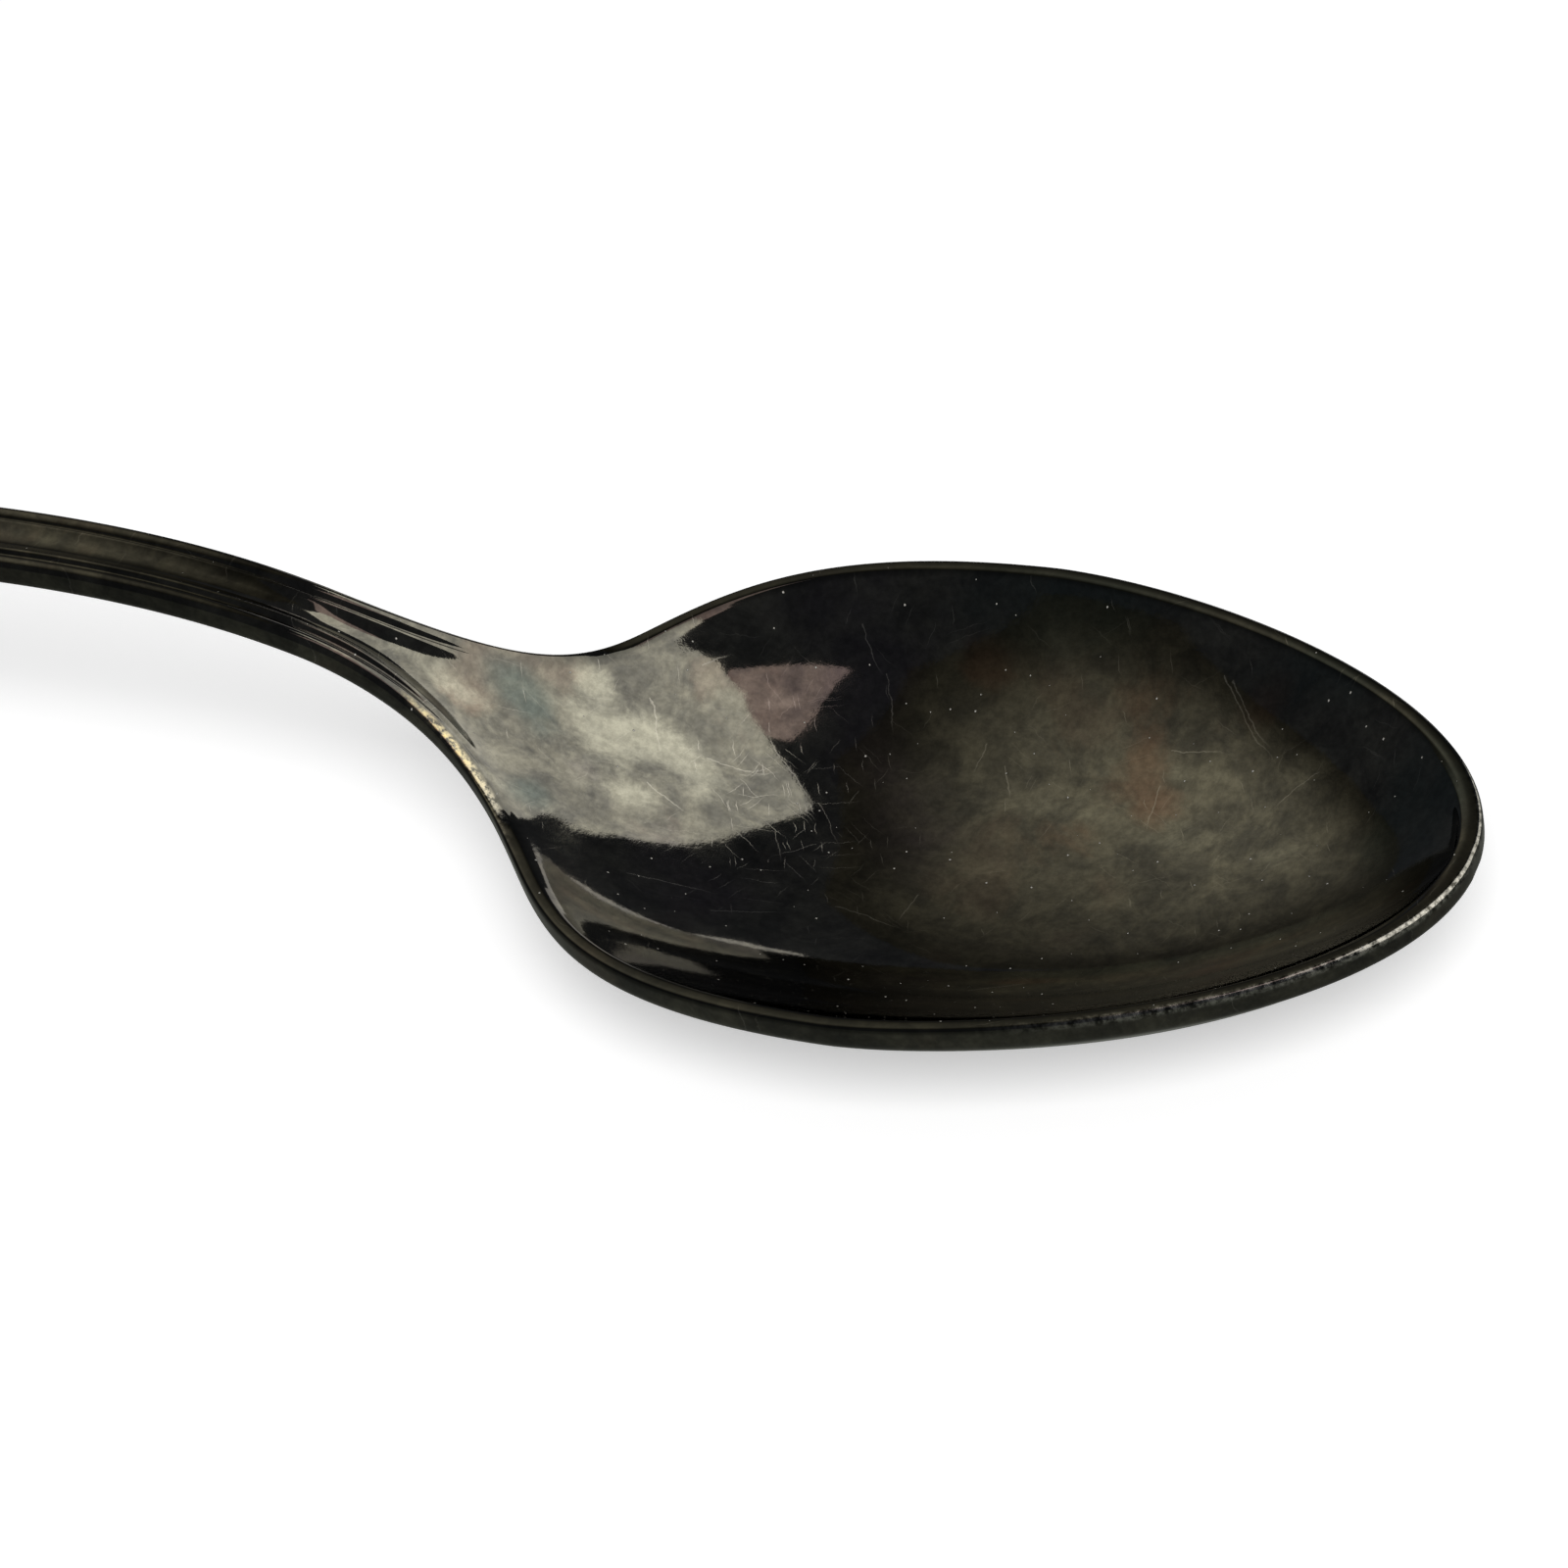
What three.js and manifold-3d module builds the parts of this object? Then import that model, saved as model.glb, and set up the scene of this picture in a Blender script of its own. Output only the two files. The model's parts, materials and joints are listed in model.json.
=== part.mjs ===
// Souvenir spoon: a die-struck, silver-plated spoon blank (bowl, stem and shield-shaped handle end in one
// forging) with an enamelled shield badge soldered to the flat of the handle end.
// Millimetres. +X runs from the handle end to the bowl tip, +Y across the bowl, +Z up. The spoon lies on
// the plane z = 0, on the bottom of its bowl and the flat back of its handle end, with the origin under its
// middle.
import * as THREE from 'three';
import { ParametricGeometry } from 'three/addons/geometries/ParametricGeometry.js';
import { mergeVertices } from 'three/addons/utils/BufferGeometryUtils.js';
import Module from 'manifold-3d';

const wasm = await Module();
wasm.setup();

// Driving dimensions: the spoon blank
const overallLength = 146;
const bowlLength = 48;          // tip to the throat, where the bowl's hollow ends
const bowlWidth = 28.6;
const bowlWidest = 22.5;          // tip to the widest place
const tipTaper = 1.58;           // powers of the curve of the bowl's outline toward the tip
const tipFullness = 0.5;
const shoulderHold = 20;      // how far the outline keeps its full width behind the widest place
const stemStart = 50;           // tip to where the shoulders have become the stem
const throatHold = 14.5;          // how far the outline keeps the stem's direction before it opens
const bowlDepth = 6.1;          // rim to the inner floor
const bowlFloor = 1.2;          // metal under the deepest place
const bowlDeepest = 22;         // tip to the deepest place
const bowlSection = 2.4;        // power of the curve across the bowl
const floorCurve = 2.6;         // power of the curve from the deepest place up to the tip
const floorHold = 12;           // how far the floor keeps level behind the deepest place
const rampHold = 6.5;           // how far the heel's ramp keeps its slope below the throat
const rampSlope = 0.62;
const rimEdge = 1.1;           // height of the side face along the rim
const rimLand = 0.55;           // flat top of the rim
const stemWidth = 3.6;
const stemEdge = 1.2;          // height of the side face along the stem
const stemThickness = 1.75;     // thread line to the rounded back
const channelDepth = 0.3;       // hollow between the two threads
const threadWidth = 0.75;       // raised thread along each edge
const grooveDrop = 0.16;        // depth of the groove beside each thread
const grooveHalf = 0.3;         // half its width
const stemSection = 2;          // power of the curves across the channel and the back of the stem
const stemFlare = 1.1;          // how much wider the stem is where the handle end begins
const riseLead = 9;            // the rim begins to rise this far before the throat
const riseHold = 4.4;             // how far it keeps level as it begins to rise
const archHeight = 15.3;        // thread line at the top of the arch
const archFromTip = 66.5;
const archHold = 21;            // how far the arch stays near its full height
const fallHold = 22;            // the same on the way down to the handle end, at both ends of the fall
const endThickness = 1.7;
const endShoulder = 19;         // length over which the stem widens into the handle end
const endStemHold = 11;         // how far the outline keeps the stem's direction before it widens
const endWidthHold = 6;         // how far it keeps the full width
const endCap = 0.62;            // share of the handle end that lies beyond its widest place
const endLanding = 3;           // the handle is level this far before the handle end begins
const seatFlatness = 24;        // power of the curve across the handle end, high enough to be flat
const endSquareness = 5.5;      // power of the curve that closes the handle end
const edgeRound = 0.14;         // how far the outermost edge is rounded down

// Driving dimensions: the badge
const badgeWidth = 12;
const badgeLength = 15.5;
const badgeMargin = 2.3;        // handle end left showing round the badge
const badgeBase = 0.5;          // plate under the enamel
const cellDepth = 0.55;         // depth of the enamel cells
const outerWall = 0.75;         // rim of the badge
const cellWall = 0.36;          // wall between two cells
const solderThickness = 0.1;
const solderInset = 0.4;        // solder stops this far inside the plate's edge
const seatClearance = 0.03;     // between the handle end, the solder and the plate
const enamelClearance = 0.04;   // between an enamel field and its cell
const sunRadius = 1.35;

// Finishes
const tarnishedSilver = { color: 0x2b2b27, metalness: 1, roughness: 0.28 };
const solderGrey = { color: 0x6d6b64, metalness: 1, roughness: 0.55 };
const struckBrass = { color: 0x8a7442, metalness: 1, roughness: 0.35 };
const enamelColours = {
  sky: 0x2f63a8, sun: 0xe2a91c, snow: 0xe9eceb, mountain: 0x5b6b78, meadow: 0x2f7a45, lake: 0x12808f,
};

const group = new THREE.Group();

// Lengths along the spoon are measured from the bowl tip
const endWidth = badgeWidth + 2 * badgeMargin;
const endLength = badgeLength + 2 * badgeMargin;
const rimHeight = bowlDepth + bowlFloor;
const endWidest = overallLength - endCap * endLength;
const endStart = overallLength - endLength;
const shoulderStart = endWidest - endShoulder;
const landing = endStart - endLanding;
const riseStart = bowlLength - riseLead;

function blend(from, to, s) {
  return THREE.MathUtils.smoothstep(s, from, to);
}

function mix(a, b, t) {
  return THREE.MathUtils.lerp(a, b, t);
}

// A curve that leaves (s0, h0) level and arrives at (s1, h1) with endSlope; its two handles set how long it
// holds each direction. It is read back as a height or half width for a length along the spoon.
function sweep(s0, h0, handle0, s1, h1, handle1, endSlope = 0) {
  const curve = new THREE.CubicBezierCurve(
    new THREE.Vector2(s0, h0),
    new THREE.Vector2(s0 + handle0, h0),
    new THREE.Vector2(s1 - handle1, h1 - handle1 * endSlope),
    new THREE.Vector2(s1, h1),
  );
  return (s) => {
    let low = 0;
    let high = 1;
    for (let i = 0; i < 40; i += 1) {
      const t = (low + high) / 2;
      if (curve.getPoint(t).x < s) low = t;
      else high = t;
    }
    return curve.getPoint((low + high) / 2).y;
  };
}

// Half width in plan: egg-shaped bowl, sloping shoulders, slender stem, shield-shaped end
const stemHalf = stemWidth / 2;
const shoulders = sweep(bowlWidest, bowlWidth / 2, shoulderHold, stemStart, stemHalf, throatHold);
const endShoulders = sweep(
  shoulderStart, stemHalf + stemFlare / 2, endStemHold, endWidest, endWidth / 2, endWidthHold,
);

function halfWidth(s) {
  if (s <= bowlWidest) return (bowlWidth / 2) * (1 - (1 - s / bowlWidest) ** tipTaper) ** tipFullness;
  if (s <= stemStart) return shoulders(s);
  if (s <= shoulderStart) return stemHalf + (stemFlare / 2) * blend(stemStart, shoulderStart, s);
  if (s <= endWidest) return endShoulders(s);
  const t = (s - endWidest) / (overallLength - endWidest);
  return (endWidth / 2) * Math.max(1 - t ** endSquareness, 0) ** 0.5;
}

// Height of the upper edge, seen from the side: level rim, rise to the arch, fall to the handle end
const rise = sweep(riseStart, rimHeight, riseHold, archFromTip, archHeight, archHold);
const fall = sweep(archFromTip, archHeight, fallHold, landing, endThickness, fallHold);

function edgeHeight(s) {
  if (s <= riseStart) return rimHeight;
  if (s <= archFromTip) return rise(s);
  return s <= landing ? fall(s) : endThickness;
}

function edgeThickness(s) {
  const towardStem = mix(rimEdge, stemEdge, blend(bowlDeepest, bowlLength, s));
  return mix(towardStem, endThickness, blend(shoulderStart, endStart, s));
}

// Upper surface along the middle: bowl floor, heel ramp, channel of the stem, flat seat of the handle end
const throat = bowlLength + 2;
const throatHeight = edgeHeight(throat) - channelDepth;
const ramp = sweep(bowlDeepest, bowlFloor, floorHold, throat, throatHeight, rampHold, rampSlope);

function floorHeight(s) {
  if (s <= bowlDeepest) return bowlFloor + bowlDepth * (1 - s / bowlDeepest) ** floorCurve;
  if (s <= throat) return ramp(s);
  return edgeHeight(s) - channelDepth * (1 - blend(shoulderStart, endStart, s));
}

// Lower surface along the middle
function backHeight(s) {
  if (s <= bowlDeepest) return (rimHeight - rimEdge) * (1 - s / bowlDeepest) ** floorCurve;
  const stemMiddle = stemThickness - channelDepth;
  const toStem = mix(bowlFloor, stemMiddle, blend(bowlDeepest, throat, s));
  const middle = mix(toStem, endThickness, blend(shoulderStart, endStart, s));
  return Math.max(floorHeight(s) - middle, 0);
}

// One cross-section as a closed ring, from the -Y edge over the top to the +Y edge and back underneath
const topInsets = [0, 0.2, threadWidth - grooveHalf, threadWidth, threadWidth + grooveHalf];
const topShares = [0.86, 0.7, 0.52, 0.34, 0.17, 0];
const backShares = [0.97, 0.86, 0.7, 0.5, 0.26, 0];

function crossPower(s) {
  return mix(bowlSection, stemSection, blend(riseStart, bowlLength, s));
}

function grooveDepth(s, inset) {
  const along = blend(riseStart, bowlLength, s) * (1 - blend(shoulderStart, endStart, s));
  const across = Math.max(1 - Math.abs(inset - threadWidth) / grooveHalf, 0);
  return grooveDrop * along * across;
}

function sectionPoint(s, index) {
  const w = halfWidth(s);
  const squeeze = Math.min(w / stemHalf, 1);
  const half = topInsets.length + topShares.length - 1;
  const topCount = 2 * half + 1;
  if (index < topCount) {
    const side = index <= half ? -1 : 1;
    const step = index <= half ? index : 2 * half - index;
    const innerHalf = w - topInsets[topInsets.length - 1] * squeeze;
    const onLand = step < topInsets.length;
    const y = onLand ? w - topInsets[step] * squeeze : innerHalf * topShares[step - topInsets.length];
    const inset = (w - y) / squeeze;
    const dishHalf = Math.max(w - rimLand * squeeze, 0.01);
    const flatness = mix(crossPower(s), seatFlatness, blend(shoulderStart, endStart, s));
    const dish = 1 - Math.min(y / dishHalf, 1) ** flatness;
    const rounding = edgeRound * Math.max(1 - inset / topInsets[1], 0);
    const z = mix(edgeHeight(s), floorHeight(s), dish) - grooveDepth(s, inset) - rounding;
    return [side * y, z];
  }
  const last = backShares.length - 1;
  const k = index - topCount;
  const side = k <= last ? 1 : -1;
  const y = w * backShares[k <= last ? k : 2 * last - k];
  const lowerEdge = edgeHeight(s) - edgeThickness(s);
  return [side * y, mix(lowerEdge, backHeight(s), 1 - (y / w) ** crossPower(s))];
}

const ringCount = 2 * (topInsets.length + topShares.length - 1) + 1 + 2 * backShares.length - 1;

// Lengths of the cross-sections, closer together where the outline turns fast
function spread(from, to, count, ease) {
  return Array.from({ length: count }, (_, i) => mix(from, to, ease(i / count)));
}

const crowding = 1.9;
const stations = [
  ...spread(0, bowlDeepest, 20, (t) => t ** crowding),
  ...spread(bowlDeepest, bowlLength, 24, (t) => t),
  ...spread(bowlLength, shoulderStart, 18, (t) => t),
  ...spread(shoulderStart, endWidest, 14, (t) => t),
  ...spread(endWidest, overallLength, 12, (t) => 1 - (1 - t) ** crowding),
  overallLength,
];

function blankSurface(u, v, target) {
  const s = stations[Math.round(v * (stations.length - 1))];
  const x = overallLength / 2 - s;
  if (s === 0 || s === overallLength) {
    target.set(x, 0, edgeHeight(s) - edgeThickness(s) / 2);
    return;
  }
  const [y, z] = sectionPoint(s, Math.round(u * ringCount) % ringCount);
  target.set(x, y, z);
}

// Merged, with the triangles that a pole or a seam has squeezed to nothing taken out
function asSolid(geometry) {
  const bare = geometry.clone();
  bare.deleteAttribute('normal');
  bare.deleteAttribute('uv');
  const merged = mergeVertices(bare, 1e-5);
  const order = merged.index.array;
  const kept = [];
  for (let i = 0; i < order.length; i += 3) {
    const [a, b, c] = [order[i], order[i + 1], order[i + 2]];
    if (a !== b && b !== c && c !== a) kept.push(a, b, c);
  }
  return new wasm.Manifold(new wasm.Mesh({
    numProp: 3,
    vertProperties: Float32Array.from(merged.attributes.position.array),
    triVerts: Uint32Array.from(kept),
  }));
}

function asGeometry(solid) {
  const mesh = solid.getMesh();
  const geometry = new THREE.BufferGeometry();
  geometry.setAttribute('position', new THREE.BufferAttribute(Float32Array.from(mesh.vertProperties), 3));
  geometry.setIndex(new THREE.BufferAttribute(Uint32Array.from(mesh.triVerts), 1));
  geometry.computeVertexNormals();
  return geometry;
}

function addPiece(parent, name, geometry, finish) {
  const mesh = new THREE.Mesh(geometry, new THREE.MeshStandardMaterial(finish));
  mesh.name = name;
  parent.add(mesh);
  return mesh;
}

const blank = new ParametricGeometry(blankSurface, ringCount, stations.length - 1);
addPiece(group, 'spoon_body', asGeometry(asSolid(blank)), tarnishedSilver);

// The badge is drawn flat, its foot toward the bowl, and turned onto the handle end
const badge = new THREE.Group();
badge.position.set(badgeMargin + badgeLength / 2 - overallLength / 2, 0, endThickness + seatClearance);
badge.rotation.z = Math.PI / 2;
group.add(badge);

function shieldShape(inset) {
  const half = badgeWidth / 2 - inset;
  const top = badgeLength / 2 - inset;
  const foot = -badgeLength / 2 + inset * 1.15;
  const shoulder = top - badgeLength * 0.06;
  const shape = new THREE.Shape();
  shape.moveTo(-half, shoulder);
  shape.lineTo(-half, 0);
  shape.bezierCurveTo(-half, foot * 0.55, -half * 0.55, foot * 0.86, 0, foot);
  shape.bezierCurveTo(half * 0.55, foot * 0.86, half, foot * 0.55, half, 0);
  shape.lineTo(half, shoulder);
  shape.quadraticCurveTo(half * 0.5, shoulder, 0, top);
  shape.quadraticCurveTo(-half * 0.5, shoulder, -half, shoulder);
  return shape;
}

function slab(shape, from, to) {
  const options = { depth: to - from, bevelEnabled: false, curveSegments: 10 };
  return asSolid(new THREE.ExtrudeGeometry(shape, options).translate(0, 0, from));
}

const plateBottom = solderThickness + seatClearance;
const cellFloor = plateBottom + badgeBase;
const plateTop = cellFloor + cellDepth;

// Lines of the landscape, left to right, reaching past the badge on both sides
const reach = badgeWidth * 0.7;
const peak = new THREE.Vector2(-badgeWidth * 0.12, badgeLength * 0.25);
const ridge = [
  new THREE.Vector2(-reach, -badgeLength * 0.05),
  peak,
  new THREE.Vector2(badgeWidth * 0.14, badgeLength * 0.06),
  new THREE.Vector2(badgeWidth * 0.26, badgeLength * 0.12),
  new THREE.Vector2(reach, -badgeLength * 0.06),
];
const snowline = [
  new THREE.Vector2(-reach, badgeLength * 0.13),
  new THREE.Vector2(peak.x - badgeWidth * 0.08, badgeLength * 0.13),
  new THREE.Vector2(peak.x, badgeLength * 0.1),
  new THREE.Vector2(peak.x + badgeWidth * 0.08, badgeLength * 0.14),
  new THREE.Vector2(peak.x + badgeWidth * 0.24, badgeLength * 0.14),
];
const shore = new THREE.QuadraticBezierCurve(
  new THREE.Vector2(-reach, -badgeLength * 0.12),
  new THREE.Vector2(0, -badgeLength * 0.06),
  new THREE.Vector2(reach, -badgeLength * 0.14),
).getPoints(8);
const bank = new THREE.CubicBezierCurve(
  new THREE.Vector2(-reach, -badgeLength * 0.2),
  new THREE.Vector2(-badgeWidth * 0.1, -badgeLength * 0.34),
  new THREE.Vector2(badgeWidth * 0.1, -badgeLength * 0.12),
  new THREE.Vector2(reach, -badgeLength * 0.27),
).getPoints(12);
const sunCentre = new THREE.Vector2(badgeWidth * 0.21, badgeLength * 0.29);

// Everything above a line
function above(line) {
  const corners = [new THREE.Vector2(line.at(-1).x, badgeLength), new THREE.Vector2(line[0].x, badgeLength)];
  return slab(new THREE.Shape([...line, ...corners]), 0, plateTop + 1);
}

// A wall that follows a line
function wallAlong(line, width) {
  const sides = [[], []];
  line.forEach((point, i) => {
    const ahead = line[Math.min(i + 1, line.length - 1)].clone().sub(point).normalize();
    const behind = point.clone().sub(line[Math.max(i - 1, 0)]).normalize();
    const bisector = ahead.clone().add(behind).normalize();
    const reference = behind.lengthSq() > 0 ? behind : ahead;
    const half = width / 2 / Math.max(Math.abs(bisector.dot(reference)), 0.4);
    const across = new THREE.Vector2(-bisector.y, bisector.x).multiplyScalar(half);
    sides[0].push(point.clone().add(across));
    sides[1].unshift(point.clone().sub(across));
  });
  return slab(new THREE.Shape([...sides[0], ...sides[1]].reverse()), 0, plateTop + 1);
}

function disc(radius) {
  const shape = new THREE.Shape();
  shape.absarc(sunCentre.x, sunCentre.y, radius, 0, 2 * Math.PI);
  return slab(shape, 0, plateTop + 1);
}

const aboveRidge = above(ridge);
const aboveSnowline = above(snowline);
const aboveShore = above(shore);
const aboveBank = above(bank);

// The six fields of the landscape, drawn in from their walls by a clearance
function landscape(clearance) {
  const width = cellWall + 2 * clearance;
  const inside = slab(shieldShape(outerWall + clearance), cellFloor + clearance, plateTop);
  const open = [ridge, shore, bank]
    .reduce((solid, line) => solid.subtract(wallAlong(line, width)), inside);
  const land = open.subtract(aboveRidge);
  const upland = land.intersect(aboveShore);
  return {
    sky: open.intersect(aboveRidge).subtract(disc(sunRadius + cellWall + clearance)),
    sun: inside.intersect(disc(sunRadius - clearance)),
    snow: upland.intersect(aboveSnowline).subtract(wallAlong(snowline, width)),
    mountain: upland.subtract(aboveSnowline).subtract(wallAlong(snowline, width)),
    meadow: land.subtract(aboveShore).intersect(aboveBank),
    lake: land.subtract(aboveBank),
  };
}

const solder = slab(shieldShape(solderInset), 0, solderThickness);
addPiece(badge, 'solder_seam', asGeometry(solder), solderGrey);

const plate = Object.values(landscape(0))
  .reduce((solid, cell) => solid.subtract(cell), slab(shieldShape(0), plateBottom, plateTop));
addPiece(badge, 'badge_plate', asGeometry(plate), struckBrass);

for (const [field, solid] of Object.entries(landscape(enamelClearance))) {
  const gloss = { color: enamelColours[field], metalness: 0, roughness: 0.12 };
  addPiece(badge, `enamel_${field}`, asGeometry(solid), gloss);
}

export default group;
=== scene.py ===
import json
import math

import bmesh
import bpy
from mathutils import Matrix, Vector

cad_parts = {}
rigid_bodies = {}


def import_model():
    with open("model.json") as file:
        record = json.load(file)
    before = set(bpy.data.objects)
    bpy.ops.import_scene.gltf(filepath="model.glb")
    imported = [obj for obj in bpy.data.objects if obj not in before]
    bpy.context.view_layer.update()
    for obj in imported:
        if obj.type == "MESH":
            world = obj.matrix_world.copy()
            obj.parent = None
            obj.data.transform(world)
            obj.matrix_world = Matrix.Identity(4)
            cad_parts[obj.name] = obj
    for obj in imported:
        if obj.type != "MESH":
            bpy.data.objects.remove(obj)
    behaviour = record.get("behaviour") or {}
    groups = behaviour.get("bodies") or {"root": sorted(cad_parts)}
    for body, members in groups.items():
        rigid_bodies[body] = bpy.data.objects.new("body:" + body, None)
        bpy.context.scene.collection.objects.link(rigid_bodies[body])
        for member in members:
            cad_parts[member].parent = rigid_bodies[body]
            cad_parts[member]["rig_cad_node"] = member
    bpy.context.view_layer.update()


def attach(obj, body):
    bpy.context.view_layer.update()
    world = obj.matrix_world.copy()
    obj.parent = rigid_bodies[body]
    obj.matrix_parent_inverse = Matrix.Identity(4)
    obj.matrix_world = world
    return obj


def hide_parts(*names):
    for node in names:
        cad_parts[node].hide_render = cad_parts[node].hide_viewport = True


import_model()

mm = 0.001


# Camera: looks down on the bowl from the near side, a little rolled, so that the stem climbs away to
# the upper left and leaves the view there.
camera_azimuth = math.radians(29.509)
camera_elevation = math.radians(39.867)
camera_roll = math.radians(-12.789)
camera_distance = 0.25
sensor_width = 36
focal_length = 133.41
looked_at = Vector((39.511, 6.581, 0)) * mm

backward = Vector((
    math.sin(camera_azimuth) * math.cos(camera_elevation),
    -math.cos(camera_azimuth) * math.cos(camera_elevation),
    math.sin(camera_elevation),
))
level = Vector((math.cos(camera_azimuth), math.sin(camera_azimuth), 0))
rise_of_view = backward.cross(level)
rightward = level * math.cos(camera_roll) + rise_of_view * math.sin(camera_roll)
upward = rise_of_view * math.cos(camera_roll) - level * math.sin(camera_roll)

bpy.ops.object.select_all(action="DESELECT")
bpy.ops.object.camera_add()
camera = bpy.context.object
camera.name = "camera"
camera.data.sensor_width = sensor_width
camera.data.lens = focal_length
camera.data.clip_start = 0.01
turn = Matrix((rightward, upward, backward)).transposed()
camera.matrix_world = Matrix.Translation(looked_at + backward * camera_distance) @ turn.to_4x4()
bpy.context.scene.camera = camera
bpy.context.scene.view_settings.view_transform = "Standard"


# Floor: a plain sheet of white acrylic, lit a little from below, so that shadows on it stay pale. In the
# metal's reflections it is dull, as a table is when the object stands between it and the lamps.
def add_node(tree, kind, inputs=None, **settings):
    item = tree.nodes.new(kind)
    for name, value in settings.items():
        setattr(item, name, value)
    for name, value in (inputs or {}).items():
        if isinstance(value, bpy.types.NodeSocket):
            tree.links.new(value, item.inputs[name])
        else:
            item.inputs[name].default_value = value
    return item


def new_material(name):
    material = bpy.data.materials.new(name)
    material.use_nodes = True
    material.node_tree.nodes.clear()
    return material, material.node_tree


def finish_material(tree, shader):
    add_node(tree, "ShaderNodeOutputMaterial", {"Surface": shader.outputs[0]})


floor_size = 1.4
floor_white = (0.8, 0.8, 0.8, 1)
floor_glow = (0.45, 0.45, 0.45, 1)
floor_in_reflections = (0.13, 0.135, 0.12, 1)

bpy.ops.mesh.primitive_plane_add(size=floor_size)
floor = bpy.context.object
floor.name = "floor"
material, tree = new_material("white_acrylic")
paths = add_node(tree, "ShaderNodeLightPath")
card = add_node(tree, "ShaderNodeBsdfDiffuse", {"Color": floor_white})
glow = add_node(tree, "ShaderNodeEmission", {"Color": floor_glow})
sheet = add_node(tree, "ShaderNodeAddShader", {0: card.outputs[0], 1: glow.outputs[0]})
dull = add_node(tree, "ShaderNodeEmission", {"Color": floor_in_reflections})
shown = add_node(tree, "ShaderNodeMixShader", {
    0: paths.outputs["Is Glossy Ray"], 1: sheet.outputs[0], 2: dull.outputs[0],
})
finish_material(tree, shown)
floor.data.materials.append(material)


# Light: a wide soft lamp just above the camera, and a pale room that is dim in reflections. Sheets of lit
# card, seen only in the metal, stand for the window and the pale walls. The directions of their corners
# weren't chosen by hand: another program worked them out, by following reflections back from the metal.
room = bpy.data.worlds.new("room")
bpy.context.scene.world = room
room.use_nodes = True
tree = room.node_tree
tree.nodes.clear()
room_white = 1.0
room_fill = 0.25
room_in_reflections = 0.065
red_in_reflections = -0.04
blue_in_reflections = 0.1
paths = add_node(tree, "ShaderNodeLightPath")
reflected = paths.outputs["Is Glossy Ray"]
seen = add_node(tree, "ShaderNodeMix", {
    "Factor": paths.outputs["Is Camera Ray"], "A": room_fill, "B": room_white,
})
strength = add_node(tree, "ShaderNodeMix", {
    "Factor": reflected, "A": seen.outputs[0], "B": room_in_reflections,
})
red, blue = (
    add_node(tree, "ShaderNodeMath", {0: reflected, 1: change, 2: 1.0}, operation="MULTIPLY_ADD")
    for change in (red_in_reflections, blue_in_reflections))
tint = add_node(tree, "ShaderNodeCombineColor", {0: red.outputs[0], 1: 1.0, 2: blue.outputs[0]})
pale = add_node(tree, "ShaderNodeBackground", {
    "Color": tint.outputs[0], "Strength": strength.outputs[0],
})
add_node(tree, "ShaderNodeOutputWorld", {"Surface": pale.outputs[0]})

lamp_above_camera = math.radians(10)
lamp_distance = 1.0
lamp_width = 0.5
lamp_power = 7.5
toward_lamp = backward * math.cos(lamp_above_camera) + upward * math.sin(lamp_above_camera)
bpy.ops.object.light_add(
    type="AREA", location=looked_at + toward_lamp * lamp_distance,
    rotation=(-toward_lamp).to_track_quat("-Z", "Y").to_euler())
lamp = bpy.context.object
lamp.name = "key_lamp"
lamp.data.shape = "DISK"
lamp.data.size = lamp_width
lamp.data.energy = lamp_power
lamp.visible_glossy = False

card_distance = 1.2


def attribute(tree, name):
    return add_node(tree, "ShaderNodeAttribute", attribute_name=name).outputs["Fac"]


def lit_card(name, middle, directions, colour, strength, softness=0.0):
    """A lit sheet whose corners lie in the given directions from a place on the spoon. Its light falls
    off toward its border over a share of its size, its softness."""
    centre = Vector(middle) * mm
    corners = [centre + Vector(d).normalized() * card_distance for d in directions]
    heart = sum(corners, Vector()) / len(corners)
    inner = [heart.lerp(corner, 1 - softness) for corner in corners]
    count = len(corners)
    walls = [(i, (i + 1) % count, count + (i + 1) % count, count + i) for i in range(count)]
    mesh = bpy.data.meshes.new(name)
    mesh.from_pydata(corners + inner, [], walls + [tuple(range(count, 2 * count))])
    glow = mesh.attributes.new("glow", "FLOAT", "POINT")
    glow.data.foreach_set("value", [0.0 if softness else 1.0] * count + [1.0] * count)
    sheet = bpy.data.objects.new(name, mesh)
    bpy.context.scene.collection.objects.link(sheet)
    material, tree = new_material(name)
    faded = add_node(tree, "ShaderNodeMapRange", {"Value": attribute(tree, "glow")},
                     interpolation_type="SMOOTHSTEP")
    level = add_node(tree, "ShaderNodeMath", {
        0: faded.outputs[0], 1: strength, 2: room_in_reflections}, operation="MULTIPLY_ADD")
    light = add_node(tree, "ShaderNodeEmission", {
        "Color": (*colour, 1), "Strength": level.outputs[0]})
    finish_material(tree, light)
    mesh.materials.append(material)
    for ray in ("camera", "diffuse", "transmission", "volume_scatter", "shadow"):
        setattr(sheet, "visible_" + ray, False)


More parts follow.
